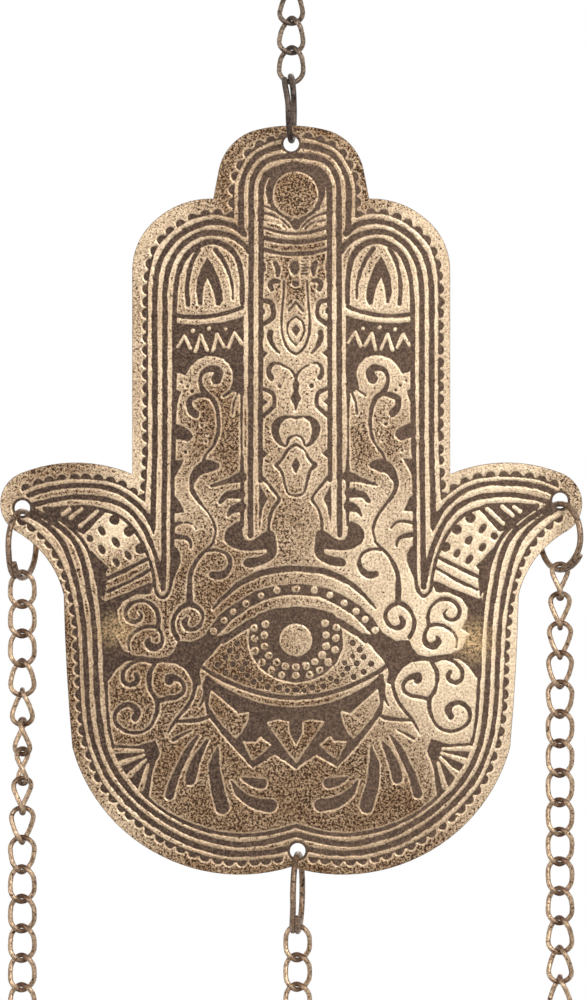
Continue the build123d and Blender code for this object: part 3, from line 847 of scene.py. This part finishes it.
for face in plate_mesh.polygons[:len(front_faces)]:
    face.use_smooth = True

# The front's walls are shaded round, and its tops and floors flat
way, points = np.zeros((len(verts), 3)), np.array(verts)
a, b, c = (points[front_faces[:, k]] for k in range(3))
slope = np.cross(b - a, c - a)
slope /= np.maximum(np.linalg.norm(slope, axis=1), 1e-9)[:, None]
for k in range(3):
    np.add.at(way, front_faces[:, k], slope)
way[:len(depth)][np.isclose(depth, front) | np.isclose(depth, floor_of_etch)] = (0, -1, 0)
way /= np.maximum(np.linalg.norm(way, axis=1), 1e-9)[:, None]
plate_mesh.normals_split_custom_set_from_vertices(way.tolist())
hand_sheet = placed("hand_sheet", plate_mesh)
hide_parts("hand_plate")
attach(hand_sheet, "hand_plate")


def etched_brass(name, tone_shifts, flecks_and_painted_highlights):
    """Brass rubbed bright on what stands, blackened where it is eaten, and pitted all over, with gold flecks
    and a painted highlight on the floor at given places.
    """
    material, tree = blank(name)
    place = node(tree, "ShaderNodeTexCoord").outputs["Object"]
    parts = node(tree, "ShaderNodeSeparateXYZ", place).outputs

    def near(x, y, z, reach, full, weight, **settings):
        """A weight that fades from a point of the plate out to its reach."""
        point = (x * MM, y * MM, (z + plate_rise) * MM)
        away = node(tree, "ShaderNodeVectorMath", place, point, operation="DISTANCE")
        return ramp(tree, away.outputs["Value"], reach * MM, full * MM, 0.0, weight, **settings)

    age = 0.0
    for (x, z), reach, weight in tone_shifts:
        age = reckon(tree, "ADD", age, near(x, 0, z, reach, 0, weight, interpolation_type="SMOOTHSTEP"))
    age = reckon(tree, "MINIMUM", age, 0.7)
    stands = ramp(tree, parts["Y"], -0.19 * MM, -0.33 * MM)
    level = ramp(tree, parts["Y"], -0.399 * MM, -0.387 * MM, 1.0, 0.3)
    pitting = reckon(tree, "MULTIPLY", age, level)
    browning = reckon(tree, "MULTIPLY", age, ramp(tree, level, 0.3, 1.0, 0.72, 1.0))
    blotch, pit, grain = patina_on(
        tree, place, blotch_size=110.0, pit_size=2250.0, age=browning, pitting=pitting)
    rubbed = blend(tree, blotch, srgb(245, 221, 188), srgb(146, 114, 82))
    specks = ramp(tree, grain, 0.72, 0.1, 0.0, ramp(tree, pitting, 0.0, 0.6, 0.45, 0.85))
    grained = blend(tree, specks, rubbed, srgb(92, 64, 40))
    pitted = blend(tree, pit, grained, srgb(62, 41, 26))
    # The blackened floor is paler towards the right, and lighter in its grain.
    paler = ramp(tree, parts["X"], -30 * MM, 6 * MM, -0.14, 0.16)
    grain_and_paler_right = reckon(tree, "ADD", reckon(tree, "POWER", grain, 1.6), paler, use_clamp=True)
    black = blend(tree, grain_and_paler_right, srgb(62, 47, 39), srgb(118, 96, 79))
    colour = blend(tree, stands, black, pitted)
    # Gold flecks on the blackened floor near given points: rubbed metal, and a painted highlight.
    for (x, z), reach, weight in flecks_and_painted_highlights:
        flecks = reckon(tree, "MULTIPLY", near(x, floor_of_etch, z, reach, 1.0, weight), grain)
        colour = blend(tree, flecks, colour, srgb(228, 194, 142))
    bare = reckon(tree, "SUBTRACT", stands, reckon(tree, "MULTIPLY", pit, 0.6), use_clamp=True)
    relief = node(tree, "ShaderNodeBump", Strength=0.5, Distance=0.06 * MM,
                  Height=reckon(tree, "MULTIPLY_ADD", pit, -0.9, grain))
    coat(tree, Base_Color=colour, Metallic=ramp(tree, bare, 0.0, 1.0, 0.75, 0.9),
         Roughness=ramp(tree, bare, 0.0, 1.0, 0.65, 0.38), Normal=relief.outputs["Normal"])
    return material


def sheet_back(name, bright, brown, dark):
    """The back of the sheet: plain rolled brass, wiped with the same brown and rubbed along its length."""
    material, tree = blank(name)
    place = node(tree, "ShaderNodeTexCoord").outputs["Object"]
    blotch, pit, _ = patina_on(tree, place, blotch_size=38.0, pit_size=2100.0, age=0.42, pitting=-0.2)
    along = node(tree, "ShaderNodeMapping", Vector=place, Rotation=(0, radians(6), 0), Scale=(1, 1, 0.035))
    rolled = node(tree, "ShaderNodeTexNoise", Vector=along.outputs["Vector"], Scale=1300.0, Detail=6.0,
                  Roughness=0.7).outputs["Fac"]
    cloud = ramp(tree, blotch, 0.28, 0.78)
    streaked = blend(tree, ramp(tree, rolled, 0.4, 0.75, 0.0, 0.3), blend(tree, cloud, bright, brown), dark)
    relief = node(tree, "ShaderNodeBump", Strength=0.3, Distance=0.05 * MM, Height=rolled)
    coat(tree, Metallic=0.9, Base_Color=blend(tree, pit, streaked, dark),
         Roughness=ramp(tree, cloud, 0.0, 1.0, 0.28, 0.5), Normal=relief.outputs["Normal"])
    return material


# Where the plate is browner than elsewhere, or brighter: the place, how far it reaches, and how much
tone_shift_places = [
    ((0, 64), 30, 0.8), ((-28, -30), 34, 0.9), ((-4, -60), 40, 0.9), ((-44, -40), 30, 0.35),
    ((24, -66), 26, 0.35), ((-6, -4), 22, 0.4), ((-16, 14), 18, 0.45), ((17, 12), 15, 0.4),
    ((0, -28), 20, 0.35), ((-47, 3), 16, 0.5), ((54, 2), 9, 0.4), ((0, 0), 400, 0.24),
    ((2, 44), 9, 0.35), ((36, -24), 32, -0.28), ((42, -2), 18, -0.2), ((-40, -8), 14, 0.25),
    ((-24, 36), 26, 0.25), ((0, 20), 22, 0.12), ((1, -28), 12, -0.3), ((-11, 20), 10, 0.3),
    ((-36, -6), 8, -0.6),
]
# Floor spots flecked with gold, partly rubbed metal and partly a painted highlight: the place, how far it
# reaches, and how much
floor_flecks_and_painted_highlights = [((36.4, -27.2), 5.5, 0.9), ((-35.4, -25.0), 4.6, 0.6)]
# The last brass, for the sawn edge and the walls of the holes, is the darkest: patina, and painted shade on
# the sheet's thin edge.
for brass in (etched_brass("etched_brass", tone_shift_places, floor_flecks_and_painted_highlights),
              sheet_back("rolled_back", srgb(216, 186, 146), srgb(142, 113, 84), srgb(96, 74, 54)),
              sheet_back("sawn_edge_patina_and_shade", srgb(142, 114, 86), srgb(88, 68, 52), srgb(60, 46, 36))):
    plate_mesh.materials.append(brass)
sheet_count = len(front_faces) + len(back_faces)
brass_of_face = [0] * len(front_faces) + [1] * len(back_faces) + [2] * (len(faces) - sheet_count)
plate_mesh.polygons.foreach_set("material_index", brass_of_face)

# Left side: an open ring through the thumb's hole, with the same stock chain hung from it. The chain
# has half a turn in it, which it took up when it was hung.
warm_brass = wire_brass(
    "ring_brass_warm", srgb(206, 173, 143), srgb(72, 54, 41), srgb(46, 35, 28), age=0.47, rough=0.28)
open_ring("left_ring", warm_brass, place=-53.8, yaw=70, inside=12.1, lap_from=210, spacing=1.4)
for number in range(1, 16):
    hang_link(f"left_link_{number:02d}", -22.5 * (min(max(number, 3), 11) - 3))

# Right side: its ring is turned further, and the end of the wire stands out past the chain. The chain
# turns a little at its top and bottom.
open_ring("right_ring", warm_brass, place=53.8, yaw=123, inside=12.0, lap_from=210, spacing=1.4)
for number in range(1, 16):
    hang_link(f"right_link_{number:02d}", -13 * (number - min(max(number, 6), 11)))

# Under the palm: the largest ring goes through the hole above the wrist's cusp, seen nearly edge on,
# with the first links of a third chain in it.
open_ring("bottom_ring", warm_brass, place=1.3, yaw=83, inside=14.2, lap_from=210, spacing=1.4)
for number in (1, 2, 3):
    hang_link(f"bottom_link_{number:02d}", 0)

# Studio: a pale floor far below the hanging hand, a white surround, and soft light from the front
# with a little from behind.
floor_half, floor_height = 2, -0.9
corners = [(x * floor_half, y * floor_half, floor_height) for x, y in ((-1, -1), (1, -1), (1, 1), (-1, 1))]
floor = bpy.data.meshes.new("studio_floor")
floor.from_pydata(corners, [], [(0, 1, 2, 3)])
studio_floor = placed("studio_floor", floor)
pale, tree = blank("pale_floor")
coat(tree, Base_Color=(0.8, 0.8, 0.8, 1), Roughness=0.9, Emission_Color=(1, 1, 1, 1))


def brighten(tree, glow, unseen, in_sight):
    """Let the surround look paler, straight or in the metal, than the light it throws."""
    ray = node(tree, "ShaderNodeLightPath").outputs
    seen = reckon(tree, "MAXIMUM", ray["Is Camera Ray"], ray["Is Glossy Ray"])
    seen = reckon(tree, "MAXIMUM", seen, ray["Is Transmission Ray"])
    feed(tree, glow, ramp(tree, seen, 0.0, 1.0, unseen, in_sight))


brighten(tree, tree.nodes["Principled BSDF"].inputs["Emission Strength"], 0.0, 0.5)
floor.materials.append(pale)
surround = bpy.data.worlds.new("white_surround")
surround.use_nodes = True
bpy.context.scene.world = surround
lit = surround.node_tree.nodes["Background"]
lit.inputs["Color"].default_value = (1, 1, 1, 1)
brighten(surround.node_tree, lit.inputs["Strength"], 0.35, 1.0)

middle = Vector((0.36 * MM, 0, -114.35 * MM))
for name, place, size, power in (("key_light", (0.45, -0.75, 0.35), 0.35, 5.5),
                                 ("fill_light", (-0.6, -0.7, 0.0), 0.6, 2.5),
                                 ("back_light", (0.2, 0.8, 0.4), 0.6, 3.0)):
    lamp = bpy.data.lights.new(name, "AREA")
    lamp.size = size
    lamp.energy = power
    stand = placed(name, lamp)
    stand.location = place
    stand.rotation_euler = (middle - Vector(place)).to_track_quat("-Z", "Y").to_euler()

seen_height = 0.2
lens = bpy.data.cameras.new("front_camera")
lens.lens = 120
lens.sensor_width = 36
front_camera = placed("front_camera", lens)
distance = seen_height * lens.lens / lens.sensor_width - front * MM
front_camera.location = middle - Vector((0, distance, 0))
front_camera.rotation_euler = (radians(90), 0, 0)
bpy.context.scene.camera = front_camera
bpy.context.scene.view_settings.view_transform = "Standard"
